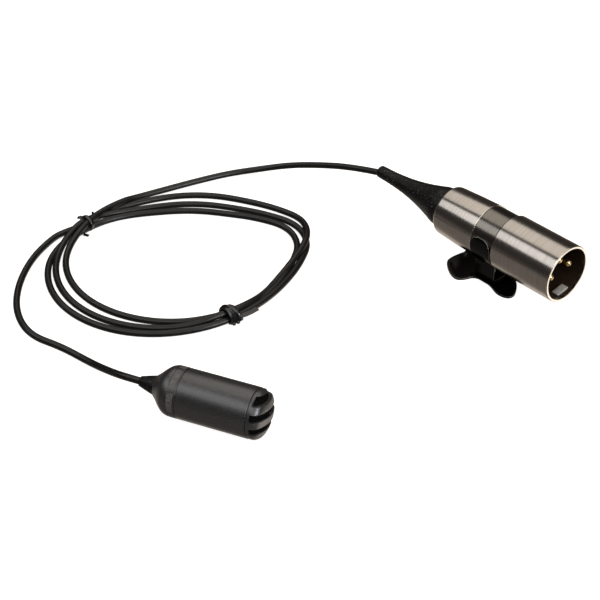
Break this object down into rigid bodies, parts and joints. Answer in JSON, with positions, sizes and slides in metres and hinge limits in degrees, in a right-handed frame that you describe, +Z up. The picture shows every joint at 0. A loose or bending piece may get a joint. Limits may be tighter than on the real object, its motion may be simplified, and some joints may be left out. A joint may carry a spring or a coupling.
{
  "type": "lavalier microphone",
  "caption": "Small cylindrical lavalier microphone with a slotted domed grille, a thin tied-up cord and a round metal connector on a belt clip.",
  "frame": {"origin": "on the floor under the middle of the microphone", "axes": "+X along the microphone's sound axis, out of its grille; +Z up; +Y to its left, towards the tied loops of cord"},
  "size_m": [0.1716, 0.1395, 0.024],
  "materials": {
    "mic_black": "fine matte texture",
    "black_cloth": "fine woven cloth",
    "pad_grey": "printed pad, blank",
    "black_rubber": "matte",
    "brass": "plain",
    "aluminium": "satin",
    "clear_film": "thin film",
    "copper": "enamelled wire",
    "steel": "plain",
    "magnet": "ground",
    "board_brown": "moulded",
    "wire_red": "insulated wire",
    "cord_black": "satin jacket",
    "tie_black": "ribbon over wire",
    "nickel": "turned, satin nickel",
    "insulator_dark": "moulded",
    "gold": "gold plated",
    "clip_black": "gloss black"
  },
  "bodies": {
    "microphone": {"grille_cap": "mic_black", "grille_cloth": "black_cloth", "mic_housing": "mic_black", "rear_cap": "mic_black", "label_pads": "pad_grey", "mic_strain_relief": "black_rubber", "cord_ferrule": "brass", "front_shock_ring": "black_rubber", "rear_shock_ring": "black_rubber", "cartridge_case": "aluminium", "cartridge_cover": "brass", "clamp_ring": "brass", "diaphragm": "clear_film", "voice_coil": "copper", "pole_plate": "steel", "magnet": "magnet", "yoke": "steel", "terminal_board": "board_brown", "cartridge_wires": "wire_red", "mic_lead": "cord_black", "connector_lead": "cord_black", "cord_coil": "cord_black", "left_tie": "tie_black", "right_tie": "tie_black", "front_shell": "nickel", "pin_insulator": "insulator_dark", "contact_pin_1": "gold", "contact_pin_2": "gold", "contact_pin_3": "gold", "insulator_screw": "steel", "centre_sleeve": "nickel", "rear_shell": "nickel", "boot": "black_rubber", "cable_clamp": "board_brown", "cord_end": "cord_black", "conductor_wires": "wire_red", "ground_tab": "brass"},
    "saddle": {"saddle_clip": "clip_black", "clip_rivet": "clip_black", "upper_leaf": "clip_black", "hinge_pin": "steel", "torsion_spring": "steel"},
    "jaw": {"lower_leaf": "clip_black"}
  },
  "joints": [
    {"name": "clip_swivel", "type": "hinge", "parent": "microphone", "child": "saddle", "pos_m": [0.05456, 0.1013, 0.0145], "axis": [0.906, -0.4233, 0], "continuous": true},
    {"name": "jaw_open", "type": "hinge", "parent": "saddle", "child": "jaw", "pos_m": [0.0582, 0.1091, 0.0014], "axis": [0.906, -0.4233, 0], "range_deg": [0, 20], "stiffness_Nm_per_rad": 0.04, "springref_deg": -34.38}
  ]
}
